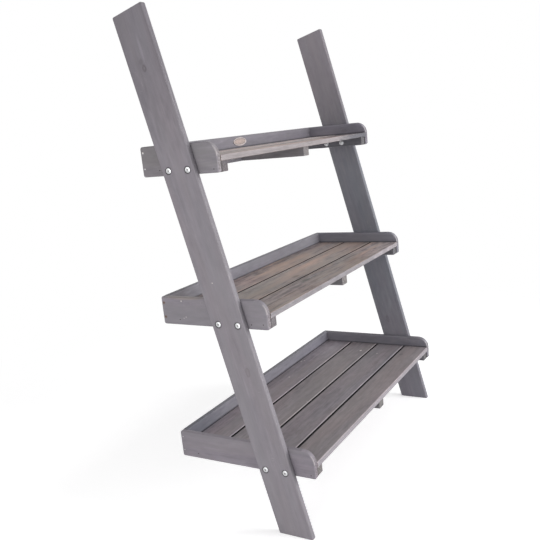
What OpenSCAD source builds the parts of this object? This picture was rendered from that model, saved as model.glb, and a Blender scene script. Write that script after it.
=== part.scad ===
// Leaning plant ladder: two board rails and three slatted trays of falling depth.
// X runs along the trays, -Y is the front, +Y the wall, and Z is up from the floor.
// The origin is the middle of the floor area that the ladder covers.

/* [Ladder] */
// Outside length of every tray
tray_length = 800; // [600:5:1000]
// Lean of the two rails from upright, in degrees
lean_angle = 13.4; // [12:0.1:16]
// Length of a rail along its front edge
rail_length = 1170; // [1080:5:1400]
// Width of a rail, square to its length
rail_width = 81; // [70:1:95]
// Thickness of a rail
rail_thickness = 14; // [12:0.5:20]
// Radius of a rail's corners at its top
rail_corner = 3.5; // [3:0.25:8]
// Radius of all the edges between a rail's faces
rail_ease = 2.5; // [1:0.25:3]

/* [Trays] */
// Height of the lowest tray's underside above the floor
first_tray_height = 140; // [110:1:170]
// Rise from one tray to the next
tray_spacing = 328; // [280:1:350]
// How far each tray stands out in front of the rails, at its underside
front_overhang = 47; // [35:1:65]
// Space between the trays' backs and the wall
wall_clearance = 11; // [5:1:20]

/* [Boards] */
// Height of the end boards and the back board
board_height = 64; // [52:1:80]
// Thickness of an end board
end_thickness = 13; // [10:0.5:18]
// Thickness of a back board
back_thickness = 14; // [10:0.5:18]
// Radius of an end board's three small corners
small_corner = 5; // [4.5:0.5:8]
// Radius of the edges of end boards, and of the long edges of back boards
board_ease = 3.5; // [1:0.25:4]

/* [Floor] */
// Width of a slat behind the front one, which fills what is left
slat_width = 84; // [75:1:92]
// Thickness of a slat
slat_thickness = 12; // [9:0.5:15]
// Space between two slats
slat_gap = 4.5; // [2:0.5:7]
// Space between a slat's end and the end board
slat_end_gap = 0.75; // [0.25:0.25:2]
// Radius of a slat's long edges
slat_ease = 1.25; // [0.5:0.25:3]
// Width of a batten
batten_width = 28; // [20:1:40]
// Height of a batten
batten_height = 22; // [18:1:28]
// How far a batten's end stays behind the front of its tray
batten_setback = 4; // [1:0.5:12]
// Radius of a batten's long edges
batten_ease = 1.5; // [0.5:0.25:3]

/* [Bolts] */
// Distance between the two bolts of a joint
bolt_spacing = 49; // [36:1:54]
// Diameter of a bolt
bolt_diameter = 6; // [5:1:8]
// Space all round a bolt in its hole
bolt_clearance = 0.25; // [0.1:0.05:0.5]
// Diameter of a bolt's head
head_diameter = 12.5; // [11:0.5:14]
// Height of a bolt's head
head_height = 2.5; // [2:0.1:5]
// Size of the head's hexagon socket, across its flats
socket_size = 4; // [3:0.5:5]
// Depth of the head's hexagon socket
socket_depth = 2.2; // [1.5:0.1:2.8]
// Space all round a bolt's head in its recess
recess_clearance = 1.25; // [0.5:0.25:2.5]
// Depth of the recess in the rail
recess_depth = 1.5; // [0.5:0.25:3]
// Diameter of a washer
washer_diameter = 13; // [12:0.5:18]
// Thickness of a washer
washer_thickness = 1.5; // [1:0.25:2.5]
// Size of a nut, across its flats
nut_size = 10; // [9:0.5:13]
// Height of a nut
nut_height = 5; // [4:0.25:7]
// Length of bolt that stands out of its nut
bolt_tip = 2; // [1:0.5:5]

/* [Hidden] */
$fn = 48;

// Numbers of the trays from the floor up, and how many slats each has
bottom = 0;
middle = bottom + 1;
top = middle + 1;
slat_count = [4, 3, 2];

// Sides of the ladder, as seen from the front
left = -1;
centre = 0;
right = 1;

// Cuts run past the faces that they cut by this much
overrun = 1;
// Space between a nut's bore and the crests of its bolt
thread_clearance = 0.05;
// Height of the flat rim that a domed head keeps at its edge
head_rim = 1.6;
// Chamfer at a bolt's tip
tip_chamfer = 0.8;
// Slope of the chamfer round a nut's outer face
nut_chamfer_angle = 30;

// Colours of the stained wood and the zinc-plated steel
rail_color = [0.53, 0.51, 0.54];
board_color = [0.49, 0.48, 0.51];
slat_color = [0.56, 0.53, 0.52];
batten_color = [0.45, 0.45, 0.46];
zinc_color = [0.75, 0.76, 0.78];

// A rail measured level, front to back
rail_level_width = rail_width / cos(lean_angle);
// The wall, which the round upper back corners of the rails touch, behind the front of their feet
wall_behind_foot = (rail_length - rail_corner) * sin(lean_angle)
    + (rail_width - rail_corner) * cos(lean_angle) + rail_corner;
// The trays' backs
back_behind_foot = wall_behind_foot - wall_clearance;

function tray_height(tray) = first_tray_height + tray * tray_spacing;
function front_behind_foot(tray) = tray_height(tray) * tan(lean_angle) - front_overhang;
function tray_depth(tray) = back_behind_foot - front_behind_foot(tray);

// The ladder's floor area runs from its foremost point to the wall
foremost_behind_foot = min(0, front_behind_foot(bottom));
foot_y = -(wall_behind_foot + foremost_behind_foot) / 2;

function tray_front_y(tray) = foot_y + front_behind_foot(tray);

// Inside of a tray, and the height of its floor above its underside
inner_length = tray_length - 2 * end_thickness;
floor_height = batten_height + slat_thickness;
// An end board's big round starts level with the floor
big_corner = board_height - floor_height;

function inner_depth(tray) = tray_depth(tray) - back_thickness;
function back_board_y(tray) = tray_front_y(tray) + inner_depth(tray);
slat_pitch = slat_width + slat_gap;
function front_slat_width(tray) = inner_depth(tray) - (slat_count[tray] - 1) * slat_pitch;

// The bolts run through the middle of the battens' height
bolt_hole = bolt_diameter + 2 * bolt_clearance;
nut_bore = bolt_diameter + 2 * thread_clearance;
recess_diameter = head_diameter + 2 * recess_clearance;
function bolt_z(tray) = tray_height(tray) + batten_height / 2;
function bolt_y(tray, place) = foot_y + bolt_z(tray) * tan(lean_angle)
    + rail_level_width / 2 + place * bolt_spacing / 2;

// Faces that the bolts pass, from the outside to the inside of the right-hand joint
rail_outer_x = tray_length / 2 + rail_thickness;
head_seat_x = rail_outer_x - recess_depth;
batten_inner_x = tray_length / 2 - end_thickness - batten_width;
nut_seat_x = batten_inner_x - washer_thickness;
nut_inner_x = nut_seat_x - nut_height;
bolt_tip_x = nut_inner_x - bolt_tip;

// What a round of this radius takes off the corner of a square at the origin
module corner_waste(radius) {
    difference() {
        translate([-overrun, -overrun])
            square(radius + overrun);
        translate([radius, radius])
            circle(radius);
    }
}

// A rectangle with one corner at the origin and all four corners round
module eased_rectangle(size, radius) {
    difference() {
        square(size);
        for (across = [0, 1], up = [0, 1])
            translate([across * size[0], up * size[1]])
                mirror([across, 0])
                    mirror([0, up])
                        corner_waste(radius);
    }
}

// What a rounding cutter takes off one edge of a plate and the corner where that edge starts
module edge_waste(length, start_corner, end_corner, ease) {
    translate([start_corner, 0, 0])
        rotate([90, 0, 90])
            linear_extrude(length - start_corner - end_corner)
                corner_waste(ease);
    translate([start_corner, start_corner, 0])
        rotate(180)
            rotate_extrude(angle = 90)
                translate([start_corner, 0])
                    mirror([1, 0])
                        corner_waste(ease);
}

// A plate from the origin, with its corners listed anticlockwise, and both faces' edges round
module eased_plate(size, corners, thickness, ease) {
    places = [[0, 0], [size[0], 0], size, [0, size[1]]];
    difference() {
        linear_extrude(thickness)
            difference() {
                square(size);
                for (turn = [0:3])
                    translate(places[turn])
                        rotate(90 * turn)
                            corner_waste(corners[turn]);
            }
        for (turn = [0:3], face = [0, 1])
            translate([0, 0, face * thickness])
                mirror([0, 0, face])
                    translate(places[turn])
                        rotate(90 * turn)
                            edge_waste(size[turn % 2], corners[turn], corners[(turn + 1) % 4], ease);
    }
}

// Puts what is drawn for the right-hand side on either side
module on_side(side) {
    mirror([side == left ? 1 : 0, 0, 0])
        children();
}

// Puts its children, drawn along +X from the origin, at every bolt of the ladder
module at_bolts() {
    for (side = [left, right], tray = [bottom, middle, top], place = [-1, 1])
        on_side(side)
            translate([0, bolt_y(tray, place), bolt_z(tray)])
                children();
}

// The bolt holes of one tray's joint, from one place along X to another
module bolt_holes(tray, from_x, to_x) {
    for (place = [-1, 1])
        translate([from_x - overrun, bolt_y(tray, place), bolt_z(tray)])
            rotate([0, 90, 0])
                cylinder(d = bolt_hole, h = to_x - from_x + 2 * overrun);
}

// A leaning board with its top cut square, its foot cut level, and recesses for the bolts' heads
module rail(side) {
    color(rail_color)
        on_side(side)
            difference() {
                translate([tray_length / 2, foot_y, 0])
                    rotate([-lean_angle, 0, 0])
                        translate([0, 0, -rail_width])
                            rotate([90, 0, 90])
                                eased_plate(
                                    [rail_width, rail_length + rail_width],
                                    [for (turn = [0:3]) rail_corner],
                                    rail_thickness,
                                    rail_ease
                                );
                translate([tray_length / 2 - overrun, foot_y - rail_width, -2 * rail_width])
                    cube([rail_thickness + 2 * overrun, 3 * rail_width, 2 * rail_width]);
                for (tray = [bottom, middle, top]) {
                    bolt_holes(tray, tray_length / 2, rail_outer_x);
                    for (place = [-1, 1])
                        translate([head_seat_x, bolt_y(tray, place), bolt_z(tray)])
                            rotate([0, 90, 0])
                                cylinder(d = recess_diameter, h = recess_depth + overrun);
                }
            }
}

// An end board, with a big round at its upper front corner
module end_board(tray, side) {
    color(board_color)
        on_side(side)
            difference() {
                translate([tray_length / 2 - end_thickness, tray_front_y(tray), tray_height(tray)])
                    rotate([90, 0, 90])
                        eased_plate(
                            [tray_depth(tray), board_height],
                            [small_corner, small_corner, small_corner, big_corner],
                            end_thickness,
                            board_ease
                        );
                bolt_holes(tray, tray_length / 2 - end_thickness, tray_length / 2);
            }
}

// A back board, held between the two end boards and flush with them at the back
module back_board(tray) {
    color(board_color)
        translate([-inner_length / 2, back_board_y(tray), tray_height(tray)])
            rotate([90, 0, 90])
                linear_extrude(inner_length)
                    eased_rectangle([back_thickness, board_height], board_ease);
}

// A batten under the slats, from near the front to the back board
module batten(tray, side) {
    length = inner_depth(tray) - batten_setback;
    batten_x = side * (inner_length - batten_width) / 2;
    color(batten_color)
        difference() {
            translate([batten_x - batten_width / 2, back_board_y(tray), tray_height(tray)])
                rotate([90, 0, 0])
                    linear_extrude(length)
                        eased_rectangle([batten_width, batten_height], batten_ease);
            if (side != centre)
                on_side(side)
                    bolt_holes(tray, batten_inner_x, inner_length / 2);
        }
}

// A slat of a tray's floor, counted from the front, where the first one fills what is left
module slat(tray, number) {
    width = number == 1 ? front_slat_width(tray) : slat_width;
    from_front = number == 1 ? 0 : front_slat_width(tray) + slat_gap + (number - 2) * slat_pitch;
    length = inner_length - 2 * slat_end_gap;
    color(slat_color)
        translate([-length / 2, tray_front_y(tray) + from_front, tray_height(tray) + batten_height])
            rotate([90, 0, 90])
                linear_extrude(length)
                    eased_rectangle([width, slat_thickness], slat_ease);
}

// The outline of half a domed head, as high as it is at its middle
module head_profile() {
    radius = head_diameter / 2;
    dome_height = head_height - head_rim;
    dome_radius = (radius ^ 2 + dome_height ^ 2) / (2 * dome_height);
    intersection() {
        square([radius, head_height]);
        translate([0, head_height - dome_radius])
            circle(dome_radius);
    }
}

// Domed bolts with a hexagon socket, from their recess in the rail to beyond the nut
module bolts() {
    shank_length = head_seat_x - bolt_tip_x;
    color(zinc_color)
        at_bolts() {
            difference() {
                translate([head_seat_x, 0, 0])
                    rotate([0, 90, 0])
                        rotate_extrude()
                            head_profile();
                translate([head_seat_x + head_height - socket_depth, 0, 0])
                    rotate([0, 90, 0])
                        cylinder(d = socket_size / cos(30), h = socket_depth + overrun, $fn = 6);
            }
            translate([bolt_tip_x + tip_chamfer, 0, 0])
                rotate([0, 90, 0])
                    cylinder(d = bolt_diameter, h = shank_length - tip_chamfer);
            translate([bolt_tip_x, 0, 0])
                rotate([0, 90, 0])
                    cylinder(d1 = bolt_diameter - 2 * tip_chamfer, d2 = bolt_diameter, h = tip_chamfer);
        }
}

// Plain washers on the inner faces of the end battens
module washers() {
    color(zinc_color)
        at_bolts()
            translate([nut_seat_x, 0, 0])
                rotate([0, 90, 0])
                    difference() {
                        cylinder(d = washer_diameter, h = washer_thickness);
                        translate([0, 0, -overrun])
                            cylinder(d = bolt_hole, h = washer_thickness + 2 * overrun);
                    }
}

// Hexagon nuts on the washers, with the corners of their outer faces chamfered
module nuts() {
    cone_diameter = nut_size + 2 * nut_height / tan(nut_chamfer_angle);
    color(zinc_color)
        at_bolts()
            translate([nut_inner_x, 0, 0])
                rotate([0, 90, 0])
                    difference() {
                        intersection() {
                            cylinder(d = nut_size / cos(30), h = nut_height, $fn = 6);
                            cylinder(d1 = nut_size, d2 = cone_diameter, h = nut_height);
                        }
                        translate([0, 0, -overrun])
                            cylinder(d = nut_bore, h = nut_height + 2 * overrun);
                    }
}

rail(left);  // left_rail
rail(right);  // right_rail

end_board(bottom, left);  // bottom_left_end
end_board(bottom, right);  // bottom_right_end
back_board(bottom);  // bottom_back_board
batten(bottom, left);  // bottom_left_batten
batten(bottom, centre);  // bottom_middle_batten
batten(bottom, right);  // bottom_right_batten
slat(bottom, 1);  // bottom_slat_1
slat(bottom, 2);  // bottom_slat_2
slat(bottom, 3);  // bottom_slat_3
slat(bottom, 4);  // bottom_slat_4

end_board(middle, left);  // middle_left_end
end_board(middle, right);  // middle_right_end
back_board(middle);  // middle_back_board
batten(middle, left);  // middle_left_batten
batten(middle, centre);  // middle_middle_batten
batten(middle, right);  // middle_right_batten
slat(middle, 1);  // middle_slat_1
slat(middle, 2);  // middle_slat_2
slat(middle, 3);  // middle_slat_3

end_board(top, left);  // top_left_end
end_board(top, right);  // top_right_end
back_board(top);  // top_back_board
batten(top, left);  // top_left_batten
batten(top, centre);  // top_middle_batten
batten(top, right);  // top_right_batten
slat(top, 1);  // top_slat_1
slat(top, 2);  // top_slat_2

bolts();
washers();
nuts();
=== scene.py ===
import math
import random

import bmesh
import bpy
from mathutils import Matrix, Vector


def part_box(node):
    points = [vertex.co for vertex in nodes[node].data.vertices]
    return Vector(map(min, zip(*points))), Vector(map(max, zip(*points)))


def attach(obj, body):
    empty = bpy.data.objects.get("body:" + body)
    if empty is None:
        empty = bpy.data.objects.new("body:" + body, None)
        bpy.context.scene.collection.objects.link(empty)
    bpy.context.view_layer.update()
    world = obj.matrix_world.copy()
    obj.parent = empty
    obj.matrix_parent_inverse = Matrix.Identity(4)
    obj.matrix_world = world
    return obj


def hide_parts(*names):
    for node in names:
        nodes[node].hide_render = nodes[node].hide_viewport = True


# Looks of the plant ladder stand: camera, light, stained wood, zinc hardware, nails, screws, plate.
# The frame is that of the CAD model: X along the trays, -Y front, Z up. Lengths are in metres
# where no comment says millimetres.
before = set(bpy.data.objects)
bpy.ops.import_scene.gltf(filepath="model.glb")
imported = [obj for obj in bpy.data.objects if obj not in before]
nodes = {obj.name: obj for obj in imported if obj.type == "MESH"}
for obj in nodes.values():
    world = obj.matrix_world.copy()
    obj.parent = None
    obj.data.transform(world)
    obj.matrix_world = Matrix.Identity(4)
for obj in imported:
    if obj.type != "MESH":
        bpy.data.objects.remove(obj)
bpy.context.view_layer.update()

MM = 0.001
SIDES = {"left": -1, "right": 1}
TRAYS = ("bottom", "middle", "top")
BATTENS = ("left", "middle", "right")
HARDWARE = ("bolts", "washers", "nuts")

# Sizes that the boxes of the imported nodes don't give: FLOOR_HEIGHT is from an end board's
# underside to the slats' tops, and BOLT_TIP is from the ladder's middle plane
LEAN = math.radians(13.4)
RAIL_LENGTH = 1170 * MM
RAIL_WIDTH = 81 * MM
FLOOR_HEIGHT = 34 * MM
RECESS_DEPTH = 1.5 * MM
BOLT_TIP = 350.5 * MM


def new_object(name, data):
    made = bpy.data.objects.new(name, data)
    bpy.context.scene.collection.objects.link(made)
    return made


# Camera, as fitted to the photograph

PHOTO_SIDE = 540
FOCAL_LENGTH_PX = 688.2
VIEW_CENTRE_DROP_PX = 30.1
CAMERA_PLACE = (-1.5629, -0.8153, 0.8764)
CAMERA_AZIMUTH = math.radians(58.89)
CAMERA_PITCH = math.radians(-14.13)
CAMERA_ROLL = math.radians(-5.9)
SENSOR_WIDTH = 36


def make_camera():
    data = bpy.data.cameras.new("camera")
    data.sensor_width = SENSOR_WIDTH
    data.lens = FOCAL_LENGTH_PX / PHOTO_SIDE * SENSOR_WIDTH
    data.shift_y = VIEW_CENTRE_DROP_PX / PHOTO_SIDE
    camera = new_object("camera", data)
    turn = Matrix.Rotation(-CAMERA_AZIMUTH, 4, "Z")
    tilt = Matrix.Rotation(math.pi / 2 + CAMERA_PITCH, 4, "X")
    roll = Matrix.Rotation(CAMERA_ROLL, 4, "Z")
    camera.matrix_world = Matrix.Translation(CAMERA_PLACE) @ turn @ tilt @ roll
    bpy.context.scene.camera = camera


# Shader nodes

class Graph:
    """Adds nodes to a tree, and sets or links their inputs."""

    def __init__(self, tree):
        self.tree = tree

    def outputs(self, kind, inputs, **settings):
        made = self.tree.nodes.new("ShaderNode" + kind)
        for name, value in settings.items():
            setattr(made, name, value)
        self.fill(made.inputs, inputs)
        return made.outputs

    def fill(self, sockets, inputs):
        """Links each input to what makes its value, or sets it."""
        for key, value in inputs.items():
            if isinstance(value, bpy.types.NodeSocket):
                self.tree.links.new(value, sockets[key])
            else:
                sockets[key].default_value = value

    def node(self, kind, inputs, output=0, **settings):
        return self.outputs(kind, inputs, **settings)[output]

    def math(self, operation, *values, clamp=False):
        return self.node("Math", dict(enumerate(values)), operation=operation, use_clamp=clamp)

    def chain(self, operation, values):
        result = values[0]
        for value in values[1:]:
            result = self.math(operation, result, value)
        return result

    def total(self, *values):
        return self.chain("ADD", values)

    def product(self, *values):
        return self.chain("MULTIPLY", values)

    def greater(self, *values):
        return self.chain("MAXIMUM", values)

    def weighted(self, base, *terms):
        """base, plus each value times its weight."""
        return self.total(base, *(self.product(value, weight) for value, weight in terms))

    def vector(self, operation, *values):
        return self.node("VectorMath", dict(enumerate(values)), "Vector", operation=operation)

    def length(self, vector):
        return self.node("VectorMath", {0: vector}, "Value", operation="LENGTH")

    def dot(self, a, b):
        return self.node("VectorMath", {0: a, 1: b}, "Value", operation="DOT_PRODUCT")

    def part(self, vector, axis):
        return self.node("SeparateXYZ", {0: vector}, axis)

    def noise(self, name, place, seed=None):
        """One of the noises, round one half or through its soft step. seed is added to its own."""
        stretch, number, detail, *steps = NOISES[name]
        shift = [number] * 3 if seed is None else self.total(seed, number)
        moved = self.vector("MULTIPLY_ADD", place, stretch, shift)
        noise = self.node("TexNoise", {"Vector": moved, "Scale": 1, "Detail": detail})
        return self.step(noise, *steps) if steps else noise

    def around(self, noise, reach):
        """Noise round one half, turned into a change of up to reach both ways."""
        return self.product(self.math("SUBTRACT", noise, 0.5), 2 * reach)

    def step(self, value, start, end):
        """Goes smoothly from 0 at start to 1 at end."""
        sizes = {"Value": value, "From Min": start, "From Max": end}
        return self.node("MapRange", sizes, interpolation_type="SMOOTHSTEP")

    def bump(self, height, distance):
        """distance is how high a height of 1 stands."""
        return self.node("Bump", {"Height": height, "Distance": distance})

    def mix(self, share, a, b, blend="MIX"):
        """a where share is 0, b where it is 1."""
        return self.node("Mix", {0: share, 6: a, 7: b}, 2, data_type="RGBA", blend_type=blend)

    def times(self, color, shade):
        return self.mix(1, color, shade, "MULTIPLY")

    def shaded(self, share, color, shade):
        """color where share is 0, and color times shade where it is 1."""
        return self.mix(share, color, self.times(color, shade))


def new_group(name, inputs, outputs):
    """A node group's graph, what is given to it, and the sockets for what it makes."""
    tree = bpy.data.node_groups.new(name, "ShaderNodeTree")
    for way, sockets in (("INPUT", inputs), ("OUTPUT", outputs)):
        for kind, labels in sockets.items():
            for label in labels:
                tree.interface.new_socket(label, in_out=way, socket_type="NodeSocket" + kind)
    given = tree.nodes.new("NodeGroupInput").outputs
    made = tree.nodes.new("NodeGroupOutput").inputs
    return Graph(tree), given, made


def new_material(name):
    """A material, its graph and its shader."""
    material = bpy.data.materials.new(name)
    material.use_nodes = True
    tree = material.node_tree
    return material, Graph(tree), tree.nodes["Principled BSDF"]


def give_material(name, material):
    """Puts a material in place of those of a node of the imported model."""
    slots = nodes[name].data.materials
    slots.clear()
    slots.append(material)


# Every noise: how fast it changes along, across and through a board (on metal along X, Y and Z),
# its own seed and its detail. Two more numbers are a soft step that it goes through.
NOISES = {
    "pith_drift": ((2.3, 0, 0), 0, 1),
    "pith_drop": ((3.1, 0, 0), 31, 1),
    "ripple": ((9, 70, 70), 3, 3),
    "broad": ((4, 75, 75), 7, 3),
    "fine": ((22, 700, 700), 13, 3),
    "cloud": ((5, 17, 17), 19, 3),
    "streak": ((3.2, 190, 190), 37, 4, 0.42, 0.6),
    "mottle": ((30, 95, 95), 47, 5),
    "blotch": ((2.4, 24, 24), 23, 6),
    "blotch_grain": ((9, 260, 260), 43, 3),
    "hue": ((4, 26, 26), 67, 4, 0.36, 0.64),
    "end_mottle": ((300, 380, 380), 29, 3),
    "long_scratch": ((40, 1000, 300), 53, 1, 0.7, 0.76),
    "cross_scratch": ((900, 55, 300), 59, 1, 0.71, 0.77),
    "scuffed": ((8, 14, 14), 61, 1, 0.5, 0.62),
    "knot": ((170, 230, 80), 3, 2),
    "fleck": ((700, 900, 900), 5, 2),
    "patch": ((28, 120, 120), 5, 5),
    "metal_cloud": ((260, 260, 260), 2, 4),
    "metal_spots": ((90, 90, 90), 8, 3, 0.5, 0.72),
    "metal_grain": ((1500, 1500, 1500), 4, 2),
    "enamel_mottle": ((230, 230, 230), 3, 4, 0.35, 0.65),
    "enamel_cloud": ((60, 60, 60), 9, 2),
}


# Stage and light

FLOOR_RADIUS = 6
FLOOR_SIDES = 96
FLOOR_DROP = 0.3 * MM
FLOOR_COLOR = (0.93, 0.93, 0.935, 1)
FLOOR_ROUGHNESS = 0.9
FLOOR_SPECULAR = 0.1
FLOOR_GLOW = 0.47
FADE_TO_WHITE = (0.6, 1.7)
WHITE = (1, 1, 1, 1)
AMBIENT = 0.45
LAMP_AIM = Vector((0, 0, 0.55))
# Where each lamp is, how wide it is, and its power in watts
LAMPS = {
    "front": ((0.72, -3.6, 1.18), 2.1, 152),
    "high_left": ((-2.6, 0.3, 1.2), 1.4, 7),
    "low_left": ((-1.7, -0.1, 0.38), 0.9, 5),
}


def make_world():
    """A dim room that the camera, reflections and passing rays see as white."""
    world = bpy.data.worlds.new("white_room")
    world.use_nodes = True
    graph = Graph(world.node_tree)
    path = graph.outputs("LightPath", {})
    rays = ("Is Camera Ray", "Is Glossy Ray", "Is Transmission Ray")
    white = graph.greater(*(path[ray] for ray in rays))
    strength = graph.node("MapRange", {"Value": white, "To Min": AMBIENT})
    graph.fill(graph.tree.nodes["Background"].inputs, {"Color": WHITE, "Strength": strength})
    bpy.context.scene.world = world


def make_floor():
    """A pale floor that takes the shadow, turns white further out, and is clear from below."""
    mesh = bpy.data.meshes.new("floor")
    shape = bmesh.new()
    bmesh.ops.create_circle(shape, cap_ends=True, segments=FLOOR_SIDES, radius=FLOOR_RADIUS)
    shape.to_mesh(mesh)
    shape.free()
    floor = new_object("floor", mesh)
    floor.location.z = -FLOOR_DROP

    material, graph, shader = new_material("floor_paper")
    graph.fill(shader.inputs, {
        "Base Color": FLOOR_COLOR, "Roughness": FLOOR_ROUGHNESS,
        "Specular IOR Level": FLOOR_SPECULAR,
    })
    camera_ray = graph.node("LightPath", {}, "Is Camera Ray")
    glow = graph.node("Emission", {"Strength": graph.product(camera_ray, FLOOR_GLOW)})
    near = graph.node("AddShader", {0: shader.outputs[0], 1: glow})
    away = graph.length(graph.node("NewGeometry", {}, "Position"))
    far = graph.product(graph.step(away, *FADE_TO_WHITE), camera_ray)
    white = graph.node("Emission", {"Color": WHITE})
    top = graph.node("MixShader", {0: far, 1: near, 2: white})
    clear = graph.node("BsdfTransparent", {})
    below = graph.node("NewGeometry", {}, "Backfacing")
    surface = graph.node("MixShader", {0: below, 1: top, 2: clear})
    graph.fill(graph.tree.nodes["Material Output"].inputs, {"Surface": surface})
    mesh.materials.append(material)


def make_lamps():
    for name, (place, size, power) in LAMPS.items():
        data = bpy.data.lights.new(name, "AREA")
        data.shape = "DISK"
        data.size = size
        data.energy = power
        lamp = new_object(name, data)
        lamp.location = place
        lamp.rotation_euler = (LAMP_AIM - Vector(place)).to_track_quat("-Z", "Y").to_euler()


# Stained softwood

RING_WIDTH = 3.2 * MM
RING_RIPPLE = 1.6 * MM
RING_CONTRAST = (0.7, 0.3)
PITH_DRIFT = 28 * MM
PITH_DROP = 14 * MM
PITH_DEPTH_MM = (22, 60)
SAW_MARK_PITCH = 2.6 * MM
SAW_MARK_WOBBLE = 3
FIGURE_BASE = 0.35
ROUGHNESS_BASE = 0.58
WOOD_SPECULAR = 0.35
EDGE_REACH = 3.2 * MM
DOT_CELLS = 38
DOT_RARITY = 0.72

# A knot: how its distance counts along, across and through the board, its own rings, and how it
# bends the rings round it
KNOT_STRETCH = (0.55, 1, 0.15)
KNOT_WOBBLE = 0.3
KNOT_RINGS = 22
KNOT_RING_CONTRAST = (0.13, 0.87)
KNOT_RIM_CONTRAST = (0.5, 0.5)
KNOT_FALL = -0.17
KNOT_PUSH = 1.7
FLECK_WOBBLE = 0.6

# Soft steps: the value at which each one is 0, and the value at which it is 1
KNOT_RIM = (0.45, 0.95)
KNOT_CORE = (1.1, 0.85)
FLECK = (1.1, 0.7)
PATCH = (1, 0.35)
CORNER_FRONT = (-4 * MM, 4 * MM)
LATEWOOD_RISE = (0.25, 0.85)
LATEWOOD_FALL = (1, 0.93)
THIN_STAIN = (0.4, 0.62)
NARROW_SIDE = (0.45, 0.9)
END_FACE = (0.75, 0.95)
NOT_END_FACE = (0.96, 0.9)
END_MOTTLE = (0.3, 0.7)
# Paler edges, partly rubbed wear and partly painted highlight, and the painted highlight on an end
# board's big round
RUBBED_AND_HIGHLIGHT_EDGE = (0.22, 0.62)
CORNER_HIGHLIGHT_EDGE = (0.1, 0.6)
DOT = (0.034, 0.02)
GAP_FRONT = (0.5, 0.75)
GAP_REAR = (0.12, 0.5)
GAP_IN_FRONT = (0, -1)
GAP_BELOW = (0.1, 0.4)
NOT_SHEER_BELOW = (0.98, 0.9)
NOT_BELOW = (0.1, 0)
GROOVE = (3.4 * MM, 1.8 * MM)
# Where the painted highlight along a slat's upper front edge lies
HIGHLIGHT_ROUND = (0.06, 0.2)
HIGHLIGHT_LINE = (4.2 * MM, 1.9 * MM)
NOT_FRONT = (0.62, 0.45)
INSIDE_OUTLINE = (3 * MM, 5 * MM)
BELOW_FACE = (0.25 * MM, 0.7 * MM)

# How much of each mark shows, from 0 to 1
RUBBED_AND_HIGHLIGHT_SHARE = 0.75
CORNER_HIGHLIGHT_SHARE = 0.7
DOT_SHARE = 0.5
SCRATCH_SHARE = 0.35
MARK_SHARE = 0.6
FLECK_SHARE = 0.9
GAP_BELOW_SHARE = 0.7

KNOT_SHADE = (0.85, 0.83, 0.82, 1)
WARM_SHADE = (1.1, 0.98, 0.95, 1)
COOL_SHADE = (0.94, 0.98, 0.985, 1)
END_DARK_SHADE = (0.5, 0.48, 0.46, 1)
END_LIGHT_SHADE = (1.1, 1.07, 1.05, 1)
# Paler edges: partly rubbed wear, partly painted highlight
RUBBED_AND_HIGHLIGHT_SHADE = (1.42, 1.4, 1.38, 1)
# Painted highlight along a slat's upper front edge
EDGE_HIGHLIGHT_SHADE = (2.3, 2.3, 2.3, 1)
# Painted shade in the slats' gaps, under their rounded lower edges, in their rear grooves and in
# the bolt recesses
GAP_PAINTED_SHADE = (0.03, 0.028, 0.03, 1)
SIDE_DARK_SHADE = (0.78, 0.78, 0.78, 1)
# The right-hand boards: a bluer painted shade, and darker painted shade on their ends and narrow
# sides
RIGHT_SIDE_PAINTED_SHADE = (0.97, 1, 1.06)
RIGHT_SIDE_EDGE_PAINTED_SHADE = 0.68
# Colour of chips, and of the painted highlight on an end board's big round
CHIP_AND_HIGHLIGHT_COLOR = (0.62, 0.58, 0.56, 1)


def knot_group():
    """Bends the growth rings round one knot, and marks the knot's core."""
    graph, given, made = new_group(
        "knot", {"Vector": ("Place", "Centre"), "Float": ("Radius", "Push", "Core")},
        {"Float": ("Push", "Core")},
    )
    away = graph.vector("SUBTRACT", given["Place"], given["Centre"])
    away = graph.length(graph.vector("MULTIPLY", away, KNOT_STRETCH))
    wobble = graph.around(graph.noise("knot", given["Place"]), KNOT_WOBBLE)
    away = graph.total(graph.math("DIVIDE", away, given["Radius"]), wobble)
    rim = graph.math("MULTIPLY_ADD", graph.step(away, *KNOT_RIM), *KNOT_RIM_CONTRAST)
    rings = graph.math("SINE", graph.product(away, KNOT_RINGS))
    rings = graph.math("MULTIPLY_ADD", rings, *KNOT_RING_CONTRAST)
    core = graph.product(graph.step(away, *KNOT_CORE), graph.product(rim, rings))
    fall = graph.math("EXPONENT", graph.product(away, away, KNOT_FALL))
    push = graph.product(fall, given["Radius"], KNOT_PUSH)
    graph.fill(made, {
        "Push": graph.total(given["Push"], push), "Core": graph.greater(given["Core"], core),
    })
    return graph.tree


def fleck_group():
    """Marks one small chip in the stain."""
    graph, given, made = new_group(
        "fleck", {"Vector": ("Place", "Centre"), "Float": ("Radius", "Flecks")},
        {"Float": ("Flecks",)},
    )
    away = graph.length(graph.vector("SUBTRACT", given["Place"], given["Centre"]))
    wobble = graph.around(graph.noise("fleck", given["Place"]), FLECK_WOBBLE)
    away = graph.total(graph.math("DIVIDE", away, given["Radius"]), wobble)
    graph.fill(made, {"Flecks": graph.greater(given["Flecks"], graph.step(away, *FLECK))})
    return graph.tree


def patch_group():
    """Tints one soft patch: worn stain, a smudge, rust, painted light, or painted shade round a
    bolt or along a joint.
    """
    graph, given, made = new_group(
        "patch",
        {"Vector": ("Place", "Centre", "Reach"), "Float": ("Rough",), "Color": ("Tint", "Shade")},
        {"Color": ("Shade",)},
    )
    away = graph.vector("SUBTRACT", given["Place"], given["Centre"])
    away = graph.vector("DIVIDE", away, given["Reach"])
    wobble = graph.math("SUBTRACT", graph.noise("patch", given["Place"]), 0.5)
    away = graph.math("MULTIPLY_ADD", wobble, given["Rough"], graph.length(away))
    inside = graph.step(away, *PATCH)
    graph.fill(made, {"Shade": graph.shaded(inside, given["Shade"], given["Tint"])})
    return graph.tree


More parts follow.
